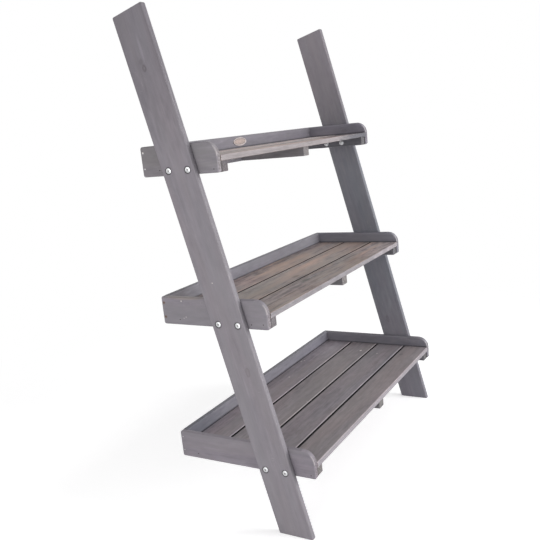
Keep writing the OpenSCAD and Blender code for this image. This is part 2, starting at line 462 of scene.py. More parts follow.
def nearness_group():
    """How near the surface is to a board's edges, from 0 on the open faces to 1 on the edges."""
    graph, given, made = new_group(
        "edge_nearness", {"Vector": ("Place", "Half Size"), "Float": ("Corner",)},
        {"Float": ("Nearness", "In Corner", "Corner Front")},
    )
    inside = graph.vector("SUBTRACT", given["Half Size"], graph.vector("ABSOLUTE", given["Place"]))
    steps = graph.outputs("SeparateXYZ", {0: graph.vector("DIVIDE", inside, [EDGE_REACH] * 3)})
    close = [graph.math("SUBTRACT", 1, step, clamp=True) for step in steps]

    # The big round at the upper front corner of an end board
    from_corner = graph.vector("SUBTRACT", given["Half Size"], given["Place"])
    left_over = graph.vector("SUBTRACT", given["Corner"], from_corner)
    left_over = graph.vector("MAXIMUM", left_over, (0, 0, 0))
    flat = graph.vector("MULTIPLY", left_over, (1, 1, 0))
    parts = graph.outputs("SeparateXYZ", {0: flat})
    in_corner = graph.math("GREATER_THAN", graph.product(parts[0], parts[1]), 0)
    to_arc = graph.math("SUBTRACT", given["Corner"], graph.length(flat))
    arc = graph.math("SUBTRACT", 1, graph.math("DIVIDE", to_arc, EDGE_REACH), clamp=True)
    close[0] = graph.greater(close[0], graph.product(arc, in_corner))

    front = graph.step(graph.math("SUBTRACT", parts[0], parts[1]), *CORNER_FRONT)
    graph.fill(made, {
        "Nearness": graph.math("SUBTRACT", graph.total(*close), 1, clamp=True),
        "In Corner": in_corner, "Corner Front": graph.product(in_corner, front),
    })
    return graph.tree


class Wood(Graph):
    """The nodes of the stained wood group, which work in a board's own frame."""

    def __init__(self, tree, given, nearness_tree):
        super().__init__(tree)
        self.given = given
        self.place = given["Place"]
        normal = self.node("NewGeometry", {}, "Normal")
        self.down = self.product(self.part(normal, "Z"), -1)
        self.sideways = self.dot(normal, given["Width"])
        self.ahead = self.product(self.sideways, -1)
        self.endways = self.math("ABSOLUTE", self.dot(normal, given["Grain"]))
        self.end = self.step(self.endways, *END_FACE)
        self.slat = self.math("ABSOLUTE", given["Gap Sides"])
        self.late = self.latewood()
        self.broad = self.swing("broad")
        self.fine = self.swing("fine")
        self.cloud = self.swing("cloud")
        self.blotch = self.seeded("blotch")
        self.end_mottle = self.seeded("end_mottle")
        self.edge = self.outputs("Group", {
            "Place": self.place, "Half Size": given["Half Size"], "Corner": given["Corner"],
        }, node_tree=nearness_tree)
        self.marks = self.small_marks()

    def seeded(self, name):
        """One of the noises, different on each board."""
        return self.noise(name, self.place, self.given["Seed"])

    def swing(self, name, reach=1):
        """The same as a change of up to reach both ways."""
        return self.around(self.seeded(name), reach)

    def latewood(self):
        """The dark lines of the growth rings, round a pith that wanders below the board."""
        drift, drop = self.swing("pith_drift", PITH_DRIFT), self.swing("pith_drop", PITH_DROP)
        wander = self.node("CombineXYZ", {1: drift, 2: drop})
        from_pith = self.vector("SUBTRACT", self.place, self.given["Pith"])
        from_pith = self.vector("ADD", from_pith, wander)
        radius = self.length(self.vector("MULTIPLY", from_pith, (0, 1, 1)))
        radius = self.total(radius, self.swing("ripple", RING_RIPPLE), self.given["Push"])
        ring = self.math("DIVIDE", radius, RING_WIDTH)
        share = self.math("FRACT", ring)
        late = self.product(self.step(share, *LATEWOOD_RISE), self.step(share, *LATEWOOD_FALL))
        number = self.total(self.math("FLOOR", ring), self.given["Seed"])
        chance = self.node("TexWhiteNoise", {"W": number}, "Value", noise_dimensions="1D")
        return self.product(late, self.math("MULTIPLY_ADD", chance, *RING_CONTRAST))

    def figure(self):
        """How dark the stain is, from clouds and broad streaks to fibres and growth rings."""
        given = self.given
        streak = self.math("SUBTRACT", self.seeded("streak"), 0.5)
        fibres = self.weighted(0, (self.broad, 0.9), (self.fine, 0.55))
        return self.weighted(
            FIGURE_BASE, (streak, given["Streaks"]), (self.cloud, 0.5),
            (self.swing("mottle"), given["Mottle"]), (fibres, given["Fibres"]),
            (self.late, given["Rings"]),
        )

    def faces(self, figure):
        """The colour of the broad faces: stain, thin patches, warm and cool tones, and knots."""
        given = self.given
        color = self.mix(figure, given["Light"], given["Dark"])
        grained = self.math("MULTIPLY_ADD", self.swing("blotch_grain"), 0.3, self.blotch)
        thin = self.product(self.step(grained, *THIN_STAIN), given["Tinted"])
        color = self.mix(thin, color, given["Tint"])
        hue = self.mix(self.seeded("hue"), COOL_SHADE, WARM_SHADE)
        color = self.shaded(given["Hues"], color, hue)
        return self.shaded(given["Core"], color, KNOT_SHADE)

    def with_sides(self, color, figure):
        """The narrow sides have a stain of their own. Patches lie over faces and sides."""
        side = self.step(self.math("ABSOLUTE", self.sideways), *NARROW_SIDE)
        color = self.mix(side, color, self.shaded(figure, self.given["Edges"], SIDE_DARK_SHADE))
        return self.times(color, self.given["Shade"])

    def with_ends(self, color):
        """The ends of a board take more stain."""
        shade = self.mix(self.step(self.end_mottle, *END_MOTTLE), END_DARK_SHADE, END_LIGHT_SHADE)
        inputs = {0: shade, "Scale": self.given["Ends"]}
        return self.shaded(self.end, color, self.node("VectorMath", inputs, operation="SCALE"))

    def with_edges(self, color):
        """Edges are rubbed paler, partly a painted highlight, and the front of an end board's big
        round has a painted highlight.
        """
        near = self.edge["Nearness"]
        patchy = self.weighted(self.blotch, (self.fine, 0.5))
        rubbed_and_highlight = self.step(self.product(near, patchy), *RUBBED_AND_HIGHLIGHT_EDGE)
        color = self.shaded(self.product(rubbed_and_highlight, RUBBED_AND_HIGHLIGHT_SHARE), color, RUBBED_AND_HIGHLIGHT_SHADE)
        corner_highlight = self.product(self.step(near, *CORNER_HIGHLIGHT_EDGE), self.edge["Corner Front"], CORNER_HIGHLIGHT_SHARE)
        return self.mix(corner_highlight, color, CHIP_AND_HIGHLIGHT_COLOR)

    def small_marks(self):
        """Scattered pale dots, and scratches where the board is scuffed."""
        cells = self.outputs("TexVoronoi", {"Vector": self.place, "Scale": DOT_CELLS})
        luck = self.node("SeparateColor", {0: cells["Color"]})
        rare = self.math("GREATER_THAN", luck, DOT_RARITY)
        dots = self.product(self.step(cells["Distance"], *DOT), rare, DOT_SHARE)
        scratches = self.greater(self.seeded("long_scratch"), self.seeded("cross_scratch"))
        scratches = self.product(scratches, self.seeded("scuffed"), SCRATCH_SHARE)
        return self.greater(dots, scratches)

    def with_marks(self, color):
        """Small marks show some bare wood, and the chips of the photograph nearly all of it."""
        color = self.mix(self.marks, color, self.mix(MARK_SHARE, color, CHIP_AND_HIGHLIGHT_COLOR))
        return self.mix(self.product(self.given["Flecks"], FLECK_SHARE), color, CHIP_AND_HIGHLIGHT_COLOR)

    def gaps(self):
        """Painted shade: 1 on a slat's sides in a gap, on its rounded lower edges and in a groove
        at its rear.
        """
        front = self.step(self.given["Gap Sides"], *GAP_IN_FRONT)
        front = self.product(self.step(self.ahead, *GAP_FRONT), front)
        below = self.product(self.step(self.down, *GAP_BELOW), GAP_BELOW_SHARE)
        below = self.product(below, self.step(self.down, *NOT_SHEER_BELOW))
        sides = self.greater(front, self.step(self.sideways, *GAP_REAR), below)
        to_rear = self.vector("SUBTRACT", self.given["Half Size"], self.place)
        groove = self.product(self.step(self.part(to_rear, "Y"), *GROOVE), self.given["Highlight_And_Groove_Shade"])
        return self.greater(self.product(sides, self.slat), groove)

    def painted_highlight_line(self):
        """1 along a slat's upper front edge, where a painted highlight goes."""
        to_front = self.part(self.vector("ADD", self.place, self.given["Half Size"]), "Y")
        line = self.greater(self.step(self.ahead, *HIGHLIGHT_ROUND), self.step(to_front, *HIGHLIGHT_LINE))
        upper = self.product(self.step(self.ahead, *NOT_FRONT), self.step(self.down, *NOT_BELOW))
        return self.product(line, upper, self.slat, self.given["Highlight_And_Groove_Shade"])

    def holes(self):
        """Painted shade: 1 in the recesses and holes for bolts, well inside the outline and below
        the faces.
        """
        depth = self.vector("ABSOLUTE", self.place)
        depth = self.outputs(
            "SeparateXYZ", {0: self.vector("SUBTRACT", self.given["Half Size"], depth)},
        )
        return self.product(
            self.step(depth[0], *INSIDE_OUTLINE), self.step(depth[1], *INSIDE_OUTLINE),
            self.step(depth[2], *BELOW_FACE),
            self.math("SUBTRACT", 1, self.edge["In Corner"]),
            self.step(self.endways, *NOT_END_FACE),
        )

    def color(self):
        figure = self.figure()
        color = self.with_sides(self.faces(figure), figure)
        color = self.with_marks(self.with_edges(self.with_ends(color)))
        # A painted highlight along each slat's upper front edge
        color = self.shaded(self.painted_highlight_line(), color, EDGE_HIGHLIGHT_SHADE)
        # Painted shade in the gaps, the rear grooves and the bolt recesses
        return self.shaded(self.greater(self.gaps(), self.holes()), color, GAP_PAINTED_SHADE)

    def roughness(self):
        return self.weighted(
            ROUGHNESS_BASE, (self.fine, 0.07), (self.cloud, 0.08), (self.late, -0.08),
            (self.end, 0.14),
        )

    def height(self):
        """Millimetres of latewood, fibres, saw marks, knots, chips and open end grain."""
        turns = self.product(self.part(self.place, "X"), 2 * math.pi / SAW_MARK_PITCH)
        saw = self.math("SINE", self.total(turns, self.product(self.broad, SAW_MARK_WOBBLE)))
        return self.weighted(
            0, (self.late, 0.045), (self.fine, 0.05), (self.broad, 0.09),
            (saw, self.given["Sawn"]), (self.given["Core"], 0.12),
            (self.greater(self.given["Flecks"], self.marks), -0.12),
            (self.product(self.end_mottle, self.end), 0.3),
        )


def wood_group():
    """Colour, roughness and height in millimetres of a planed and stained softwood board."""
    graph, given, made = new_group(
        "stained_wood",
        {
            "Vector": ("Place", "Half Size", "Grain", "Pith", "Width"),
            "Color": ("Light", "Dark", "Tint", "Edges", "Shade"),
            "Float": (
                "Seed", "Push", "Core", "Flecks", "Corner", "Tinted", "Rings", "Fibres",
                "Streaks", "Sawn", "Ends", "Gap Sides", "Mottle", "Hues", "Highlight_And_Groove_Shade",
            ),
        },
        {"Color": ("Color",), "Float": ("Roughness", "Height")},
    )
    wood = Wood(graph.tree, given, nearness_group())
    graph.fill(made, {
        "Color": wood.color(), "Roughness": wood.roughness(), "Height": wood.height(),
    })
    return graph.tree


# A board's colour goes from Light to Dark. Tint is its colour where the stain is thin, Edges that
# of its narrow sides, and Ends says how light its ends are. The others say how much shows of the
# tint, the growth rings, fibres, streaks, saw marks, mottle and changes of tone, and how strong the
# painted highlight along a slat's upper front edge and the painted shade in the groove at its rear
# are.
STAINS = {
    "rail": dict(
        Light=(0.274, 0.252, 0.28), Dark=(0.2, 0.183, 0.206), Edges=(0.21, 0.195, 0.216),
        Tint=(0.252, 0.237, 0.254), Tinted=0.4, Ends=0.9,
        Rings=0.14, Fibres=0.5, Streaks=0.1, Mottle=0.6, Hues=0.15,
    ),
    "board": dict(
        Light=(0.284, 0.264, 0.29), Dark=(0.176, 0.163, 0.183), Edges=(0.25, 0.235, 0.255),
        Tint=(0.24, 0.232, 0.236), Tinted=0.5, Ends=1,
        Rings=0.12, Fibres=0.4, Streaks=0.06, Mottle=0.6, Hues=0.08,
    ),
    "bottom_slat": dict(
        Light=(0.289, 0.256, 0.275), Dark=(0.162, 0.144, 0.158), Edges=(0.24, 0.22, 0.24),
        Tint=(0.244, 0.221, 0.22), Tinted=0.5, Ends=0.9,
        Rings=0.3, Fibres=0.55, Streaks=0.18, Mottle=0.8, Hues=0.3, Highlight_And_Groove_Shade=0.9,
    ),
    "middle_slat": dict(
        Light=(0.33, 0.285, 0.275), Dark=(0.15, 0.13, 0.133), Edges=(0.222, 0.203, 0.21),
        Tint=(0.38, 0.3, 0.255), Tinted=0.8, Ends=0.9,
        Rings=0.5, Fibres=0.7, Streaks=0.4, Mottle=1.7, Hues=0.5, Highlight_And_Groove_Shade=0.2,
    ),
    "top_slat": dict(
        Light=(0.38, 0.32, 0.315), Dark=(0.17, 0.145, 0.15), Edges=(0.255, 0.228, 0.232),
        Tint=(0.46, 0.37, 0.33), Tinted=0.75, Ends=0.9,
        Rings=0.6, Fibres=0.7, Streaks=0.7, Mottle=1.6, Hues=0.7, Highlight_And_Groove_Shade=0.2,
    ),
    "batten": dict(
        Light=(0.25, 0.24, 0.256), Dark=(0.16, 0.154, 0.165), Edges=(0.24, 0.23, 0.245),
        Tint=(0.225, 0.22, 0.215), Tinted=0.6, Ends=0.8,
        Rings=0.25, Fibres=0.6, Streaks=0.2, Sawn=0.05, Mottle=0.9, Hues=0.3,
    ),
}

# How much darker or lighter single boards are, partly from their stain and partly painted light and
# shade, such as the painted shade on the back boards
TONES_AND_PAINTED_LIGHT = {
    "right_rail": (0.96, 0.97, 0.97),
    "bottom_back_board": (0.69, 0.715, 0.75),
    "middle_back_board": (0.71, 0.73, 0.765),
    "top_back_board": (0.76, 0.77, 0.8),
    "bottom_left_end": (0.98, 0.95, 0.99),
    "middle_left_end": (0.99, 0.97, 1.01),
    "middle_right_end": (1.1, 1.12, 1.14),
    "top_right_end": (1.14, 1.12, 1.14),
    "middle_left_batten": (1.03, 1, 1.04),
    "top_left_batten": (0.78, 0.76, 0.83),
    "bottom_slat_1": (1.1, 1.1, 1.1),
    "bottom_slat_2": (1, 1.02, 1.05),
    "bottom_slat_4": (1, 1, 1.04),
    "middle_slat_1": (1.04, 1.05, 1.08),
    "middle_slat_2": (1.04, 1.04, 1.07),
    "middle_slat_3": (1.04, 1.03, 1.06),
    "top_slat_2": (1.4, 1.48, 1.54),
}

# Past the ends of any board, or right through one, in millimetres
WHOLE = 1000
# Where the photograph shows knots: millimetres from the board's middle along the grain and across
# it, and the knot's radius
KNOTS = {
    "left_rail": [(467, 1, 4.5), (-192, -12, 6)],
    "right_rail": [(-310, 12, 6)],
    "middle_slat_1": [(-101, 22, 6)],
    "middle_slat_2": [(-66, -21, 5)],
    "bottom_slat_2": [(-264.5, -12, 8), (219.4, -12, 8)],
    "bottom_back_board": [(170, -10, 5)],
    "top_right_end": [(30, 12, 5)],
}
# Where it shows small chips, in the same way
FLECKS = {
    "left_rail": [(12, 5, 1.6)],
    "top_left_end": [(-90.5, 19.5, 2.4), (-90.5, -14.5, 1.7)],
    "middle_left_end": [(-81, 23, 1.9), (-73, -13, 1.3), (-79, -16, 1.1)],
    "bottom_slat_4": [(177.5, 32, 2.7), (188.7, 27, 2.2), (50.8, 6, 2.8)],
    "bottom_slat_3": [(313.8, -18, 3.6), (-95, -36, 1.6)],
    "bottom_slat_2": [(298.9, 11, 2.3)],
}
# Patches of worn or darker stain, and of painted light and shade, in the same way: how far they
# reach along the grain and across it, and the three numbers of their tint
PATCHES = {
    # On the left rail, painted shade at the upper end and along the upper front edge; the others
    # mark a knot and streaks
    "left_rail": [
        (585, 0, 340, WHOLE, 0.84, 0.84, 0.85), (467, 1, 10, 7, 0.76, 0.75, 0.75),
        (467, 1, 4.5, 3, 1.3, 1.3, 1.3), (504, -5, 36, 4.4, 1.18, 1.18, 1.18),
        (481, 4, 9, 7, 0.86, 0.85, 0.85), (585, -40.5, 260, 7, 0.84, 0.83, 0.84),
        (-222, 4, 30, 4, 1.1, 1.1, 1.1),
    ],
    # Painted light and shade along the right rail, lighter at its top and foot
    "right_rail": [
        (585, 0, 450, WHOLE, 1.28, 1.21, 1.15), (-500, 0, 340, WHOLE, 1.17, 1.17, 1.15),
        (20, 0, 420, WHOLE, 1, 1.07, 1.05),
    ],
    "top_left_end": [(-90, 0, 130, WHOLE, 0.88, 0.87, 0.86)],
    "middle_left_end": [(-75, 32, 70, 8, 1.16, 1.12, 0.98)],
    # Painted shade at the lower back boards' left ends, painted light further right, and painted
    # shade at the top one's right end
    "bottom_back_board": [
        (-400, 0, 200, WHOLE, 0.66, 0.68, 0.72), (400, 0, 240, WHOLE, 1.14, 1.14, 1.16),
    ],
    "middle_back_board": [
        (-400, 0, 130, WHOLE, 0.66, 0.64, 0.64), (-200, 0, 120, WHOLE, 1.22, 1.22, 1.22),
        (400, 0, 240, WHOLE, 1.17, 1.17, 1.17),
    ],
    "top_back_board": [(400, 0, 380, WHOLE, 0.85, 0.85, 0.86)],
    # Painted shade at the right end of the top tray's front slat
    "top_slat_1": [
        (420, 0, 260, WHOLE, 0.4, 0.44, 0.5), (20, 12, 160, 1.8, 0.5, 0.48, 0.48),
        (-160, 24, 110, 1.6, 0.56, 0.53, 0.52), (210, -8, 90, 1.6, 0.58, 0.56, 0.56),
        (60, -12, 200, 8, 1.1, 1.03, 1),
    ],
    "top_slat_2": [
        (80, 4, 150, 1.8, 0.52, 0.5, 0.5), (-120, -14, 100, 1.6, 0.58, 0.55, 0.55),
        (320, 0, 140, WHOLE, 1.2, 1.22, 1.2),
    ],
    "middle_slat_1": [
        (300, 0, 170, 70, 1.42, 1.38, 1.38), (30, 30, 70, 18, 1.2, 1.1, 1.06),
        (190, 30, 35, 20, 0.78, 0.78, 0.78), (130, -5, 60, 13, 0.8, 0.78, 0.78),
        (-101, 22, 25, 11, 0.66, 0.7, 0.66),
    ],
    "middle_slat_2": [
        (20, 18, 130, 35, 1.24, 1.17, 1.12), (130, 8, 110, 30, 1.18, 1.13, 1.1),
        (-66, -21, 25, 10, 0.62, 0.64, 0.62), (149, -14, 35, 14, 0.76, 0.77, 0.77),
        (-200, 0, 110, 50, 0.86, 0.9, 0.9),
    ],
    "middle_slat_3": [
        (-130, 0, 80, 50, 1.25, 1.14, 1.12), (10, -2, 130, 45, 1.32, 1.28, 1.22),
        (170, -10, 70, 35, 1.15, 1.09, 1.04), (280, 0, 100, WHOLE, 0.9, 0.9, 0.93),
        (-50, 42, 300, 22, 1.3, 1.26, 1.22),
    ],
    "bottom_slat_1": [(308, 20, 12, 8, 0.75, 0.75, 0.78)],
    "bottom_slat_3": [(313.8, -18, 6.5, 2.8, 5.5, 5.5, 5.3)],
    "bottom_slat_4": [(300, 0, 130, 70, 1.13, 1.14, 1.14)],
}

# Painted shade round bolts and along the battens' joints with the end boards, a darker line where
# the slats meet a board, and rust round nails: how far each reaches along the grain and across it,
# and its tint
BOLT_RECESS_SHADE = (10.5 * MM, 10.5 * MM, (0.42, 0.41, 0.43))
NAIL_RUST = (4.5 * MM, 4.5 * MM, (0.72, 0.5, 0.36))
FLOOR_JOINT = (WHOLE * MM, 4.5 * MM, (0.5, 0.5, 0.5))
BATTEN_JOINT_SHADE = (WHOLE * MM, 11 * MM, (0.34, 0.32, 0.3))
JOINT_DEPTH = 3 * MM
# A patch that is broader than this has a rougher outline
BROAD_PATCH = 12 * MM
BROAD_ROUGHNESS = 1.1
SMALL_ROUGHNESS = 0.3

# Where nails sit on an end board, in millimetres: the battens' from the front edge and up, and the
# others from the rear edge and up
BATTEN_NAILS = {"bottom": [(11, 8.5)], "middle": [(12, 12), (41, 10.5)], "top": [(11, 8)]}
REAR_BATTEN_NAIL = (46.5, 12.5)
CORNER_NAILS = ((7, 17), (7, 50))

# The axes along a board's grain, across it and through it, and which way its grain runs
BOARD_AXES = {"end": (1, 2, 0, -1), "board": (0, 2, 1, 1), "batten": (1, 0, 2, -1)}
SLAT_AXES = (0, 1, 2, 1)


def board_frame(name):
    """A board's middle, its grain and width directions, and its size along them and through it."""
    low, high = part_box(name)
    middle, size = (low + high) / 2, high - low
    if name.endswith("rail"):
        grain = Vector((0, math.sin(LEAN), math.cos(LEAN)))
        width = Vector((0, math.cos(LEAN), -math.sin(LEAN)))
        foot = Vector((middle.x, low.y, low.z))
        middle = foot + grain * RAIL_LENGTH / 2 + width * RAIL_WIDTH / 2
        return middle, grain, width, (RAIL_LENGTH, RAIL_WIDTH, size.x)
    along, across, through, way = BOARD_AXES.get(name.split("_")[-1], SLAT_AXES)
    grain, width = Vector(), Vector()
    grain[along], width[across] = way, 1
    return middle, grain, width, (size[along], size[across], size[through])


def stain_of(name):
    return next((STAINS[kind] for kind in STAINS if kind in name), STAINS["board"])


def joint_patches(name, middle, grain, width, size, bolts):
    """Tints where other pieces meet a board: painted shade round bolts and along battens, rust
    round nails, and a darker line where the slats meet it.
    """
    joints = []
    left_or_right = -1 if "left" in name else 1
    if name.endswith("rail"):
        # Painted shade round each bolt's recess
        for y, z in bolts:
            away = Vector((middle.x, y, z)) - middle
            joints.append((away.dot(grain), away.dot(width), *BOLT_RECESS_SHADE))
    if name.startswith("middle") and name.endswith("end"):
        for back, up in CORNER_NAILS:
            joints.append((back * MM - size[0] / 2, up * MM - size[1] / 2, *NAIL_RUST))
    if name.endswith(("end", "board")):
        inner_face = left_or_right * size[2] / 2
        joints.append((0, FLOOR_HEIGHT - size[1] / 2, *FLOOR_JOINT, inner_face))
    if name.endswith("batten") and "middle_batten" not in name:
        # Painted shade along the batten's side next to its end board
        joints.append((0, left_or_right * size[1] / 2, *BATTEN_JOINT_SHADE))
    return joints


def gap_sides(name):
    """0 with no gap beside the board, -1 with gaps at both sides, 1 with one only behind it."""
    if "slat" not in name:
        return 0
    return 1 if name.endswith("_1") else -1


def dress_board(name, number, groups, bolts):
    """Gives a board's node a material of its own, cut from another place of another tree."""
    middle, grain, width, size = board_frame(name)
    chance = random.Random(number)
    material, graph, shader = new_material(name + "_wood")
    axes = Matrix((grain, width, grain.cross(width))).transposed()
    place = graph.node("Mapping", {
        "Vector": graph.node("TexCoord", {}, "Object"), "Location": middle,
        "Rotation": axes.to_euler(),
    }, vector_type="TEXTURE")

    push = core = flecks = 0
    for x, y, radius in KNOTS.get(name, []):
        bent = graph.outputs("Group", {
            "Place": place, "Centre": (x * MM, y * MM, 0), "Radius": radius * MM,
            "Push": push, "Core": core,
        }, node_tree=groups["knot"])
        push, core = bent["Push"], bent["Core"]
    for x, y, radius in FLECKS.get(name, []):
        flecks = graph.node("Group", {
            "Place": place, "Centre": (x * MM, y * MM, size[2] / 2), "Radius": radius * MM,
            "Flecks": flecks,
        }, "Flecks", node_tree=groups["fleck"])
    shade = WHITE
    patches = [
        (*(length * MM for length in patch[:4]), patch[4:]) for patch in PATCHES.get(name, [])
    ]
    patches += joint_patches(name, middle, grain, width, size, bolts)
    for x, y, along, across, tint, *face in patches:
        shade = graph.node("Group", {
            "Place": place, "Tint": (*tint, 1), "Shade": shade,
            "Centre": (x, y, *face) if face else (x, y, 0),
            "Reach": (along, across, JOINT_DEPTH if face else WHOLE * MM),
            "Rough": BROAD_ROUGHNESS if across > BROAD_PATCH else SMALL_ROUGHNESS,
        }, "Shade", node_tree=groups["patch"])

    inputs = {
        "Place": place, "Half Size": Vector(size) / 2, "Grain": grain, "Width": width,
        "Pith": (0, chance.uniform(-0.5, 0.5) * size[1], -chance.uniform(*PITH_DEPTH_MM) * MM),
        "Seed": chance.uniform(0, 100), "Push": push, "Core": core, "Flecks": flecks,
        "Corner": size[1] - FLOOR_HEIGHT if name.endswith("end") else 0,
        "Gap Sides": gap_sides(name), "Shade": shade,
    }
    # The board's tone, with painted light and shade
    tone_and_light = Vector(TONES_AND_PAINTED_LIGHT.get(name, (1, 1, 1)))
    # A bluer painted shade on the right-hand boards
    if "right" in name:
        tone_and_light *= Vector(RIGHT_SIDE_PAINTED_SHADE)
    for label, value in stain_of(name).items():
        inputs[label] = (*(tone_and_light * Vector(value)), 1) if isinstance(value, tuple) else value
    # Darker painted shade on the right-hand boards' ends and narrow sides
    if "right" in name:
        inputs["Ends"] *= RIGHT_SIDE_EDGE_PAINTED_SHADE
        inputs["Edges"] = (*(RIGHT_SIDE_EDGE_PAINTED_SHADE * Vector(inputs["Edges"][:3])), 1)
    wood = graph.outputs("Group", inputs, node_tree=groups["wood"])
    graph.fill(shader.inputs, {
        "Base Color": wood["Color"], "Roughness": wood["Roughness"],
        "Normal": graph.bump(wood["Height"], MM), "Specular IOR Level": WOOD_SPECULAR,
    })
    give_material(name, material)


def dress_boards(bolts):
    groups = {
        "wood": wood_group(), "knot": knot_group(), "fleck": fleck_group(),
        "patch": patch_group(),
    }
    boards = [name for name in sorted(nodes) if name not in HARDWARE]
    for number, name in enumerate(boards):
        dress_board(name, number, groups, bolts)


# Metal and enamel

METAL_SPOT_SHARE = 0.3
METAL_GRAIN_HEIGHT = 0.04 * MM
ENAMEL_HEIGHT = 0.12 * MM
ENAMEL_METALLIC = 0.15
# A light and a dark tone, the grime's colour, and how rough the metal is
METALS = {
    "zinc_steel": ((0.88, 0.885, 0.89), (0.72, 0.73, 0.75), (0.5, 0.49, 0.48), 0.22),
    # Darker metal in the bolts' sockets and the screws' recesses: grime and painted shade
    "socket_grime_and_shade": ((0.5, 0.49, 0.48), (0.36, 0.355, 0.35), (0.25, 0.24, 0.23), 0.5),
    "dark_nails": ((0.035, 0.025, 0.02), (0.015, 0.012, 0.01), (0.09, 0.035, 0.015), 0.5),
}
# A light and a dark tone, and how rough the enamel is
ENAMELS = {
    "plate_enamel": ((0.46, 0.37, 0.335), (0.3, 0.245, 0.23), 0.45),
    "plate_rim": ((0.55, 0.49, 0.48), (0.36, 0.32, 0.315), 0.35),
    # Darker enamel as painted shade in the groove inside the rim and round the plate's edge
    "plate_painted_shade": ((0.17, 0.14, 0.135), (0.1, 0.085, 0.085), 0.6),
}


def new_metal(name):
    """Worn metal: two tones in small clouds, with darker and rougher grime over them."""
    light, dark, grime_and_shade, rough = METALS[name]
    material, graph, shader = new_material(name)
    place = graph.node("TexCoord", {}, "Object")
    cloud = graph.noise("metal_cloud", place)
    spots = graph.noise("metal_spots", place)
    color = graph.mix(cloud, (*dark, 1), (*light, 1))
    color = graph.mix(graph.product(spots, METAL_SPOT_SHARE), color, (*grime_and_shade, 1))
    graph.fill(shader.inputs, {
        "Base Color": color, "Roughness": graph.weighted(rough, (cloud, 0.16), (spots, 0.14)),
        "Normal": graph.bump(graph.noise("metal_grain", place), METAL_GRAIN_HEIGHT),
        "Metallic": 1,
    })
    return material


def new_enamel(name):
    """Mottled enamel on cast metal."""
    light, dark, rough = ENAMELS[name]
    material, graph, shader = new_material(name)
    place = graph.node("TexCoord", {}, "Object")
    mottle = graph.noise("enamel_mottle", place)
    cloud = graph.noise("enamel_cloud", place)
    share = graph.weighted(0, (cloud, 0.4), (mottle, 0.7))
    graph.fill(shader.inputs, {
        "Base Color": graph.mix(share, (*dark, 1), (*light, 1)),
        "Roughness": graph.weighted(rough, (mottle, 0.2)),
        "Normal": graph.bump(graph.weighted(mottle, (cloud, 0.7)), ENAMEL_HEIGHT),
        "Metallic": ENAMEL_METALLIC,
    })
    return material


# Turned forms: bolts, nails, screws and the plate. Their heights and radii are in millimetres.

SHARP_ANGLE = math.radians(35)
BOLT_SIDES = 36
NAIL_SIDES = 16
SCREW_SIDES = 48
PLATE_SIDES = 96


def turned(shape, base, axis, across, rows, sides):
    """Adds a closed form round an axis, from rows of a height, a radius and a finish.

    A radius is a number, or a function of the angle. The finish is a material's number.
    """
    base, axis, across = Vector(base), Vector(axis), Vector(across)
    third = axis.cross(across)
    before = None
    for height, radius, finish in rows:
        centre = base + axis * (height * MM)
        if radius == 0:
            ring = [shape.verts.new(centre)] * sides
        else:
            ring = []
            for number in range(sides):
                angle = 2 * math.pi * number / sides
                reach = radius(angle) if callable(radius) else radius
                outward = math.cos(angle) * across + math.sin(angle) * third
                ring.append(shape.verts.new(centre + reach * MM * outward))
        if before:
            for number in range(sides):
                after = (number + 1) % sides
                corners = [before[number], before[after], ring[after], ring[number]]
                face = shape.faces.new(list(dict.fromkeys(corners)))
                face.material_index = finish
                face.smooth = True
        before = ring


def new_piece(name, shape, finishes):
    """A piece of the shape that rides on the ladder, with its materials."""
    bmesh.ops.recalc_face_normals(shape, faces=shape.faces)
    mesh = bpy.data.meshes.new(name)
    shape.to_mesh(mesh)
    shape.free()
    mesh.set_sharp_from_angle(angle=SHARP_ANGLE)
    for finish in finishes:
        mesh.materials.append(finish)
    piece = new_object(name, mesh)
    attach(piece, "root")
    return piece


def hexagon(size):
    return lambda angle: size / 2 / math.cos(angle % (math.pi / 3) - math.pi / 6)


def cross(reach, width):
    """A cross recess: four arms of one width and reach."""
    def radius(angle):
        turn = abs((angle + math.pi / 4) % (math.pi / 2) - math.pi / 4)
        side = width / 2 / max(math.sin(turn), 0.001)
        return min(reach / math.cos(turn), side)
    return radius


def ellipse(length, height):
    """An ellipse of these half sizes."""
    return lambda angle: (
        length * height / math.hypot(height * math.cos(angle), length * math.sin(angle))
    )


def thread(height):
    """A thread's radius at a height, for each angle."""
    def radius(angle):
        turn = (height / THREAD_PITCH - angle / (2 * math.pi)) % 1
        return BOLT_RADIUS - THREAD_DEPTH * abs(2 * turn - 1)
    return radius


BOLT_RADIUS = 2.96
THREAD_PITCH = 1
THREAD_DEPTH = 0.55
THREAD_LENGTH = 14
THREAD_RUN_OUT = 1.2
ROWS_PER_TURN = 6
TIP_CHAMFER = 0.6
HEAD_RADIUS = 6.22
HEAD_HEIGHT = 2.48
HEAD_RIM = 1.6
SOCKET_SIZE = 4
SOCKET_DEPTH = 2.2
SOCKET_EASE = 0.3
# The dome's rows as shares of the head's radius, and the rows below it as heights and radii
DOME_ROWS = (0.42, 0.47, 0.56, 0.66, 0.75, 0.82, 0.88)
HEAD_ROWS = (
    (HEAD_RIM + 0.08, 0.935 * HEAD_RADIUS), (HEAD_RIM - 0.12, 0.975 * HEAD_RADIUS),
    (HEAD_RIM - 0.4, 0.998 * HEAD_RADIUS), (0.5, HEAD_RADIUS), (0.12, HEAD_RADIUS),
    (0, 0.98 * HEAD_RADIUS), (0, 1.12 * BOLT_RADIUS), (-0.3, BOLT_RADIUS),
)


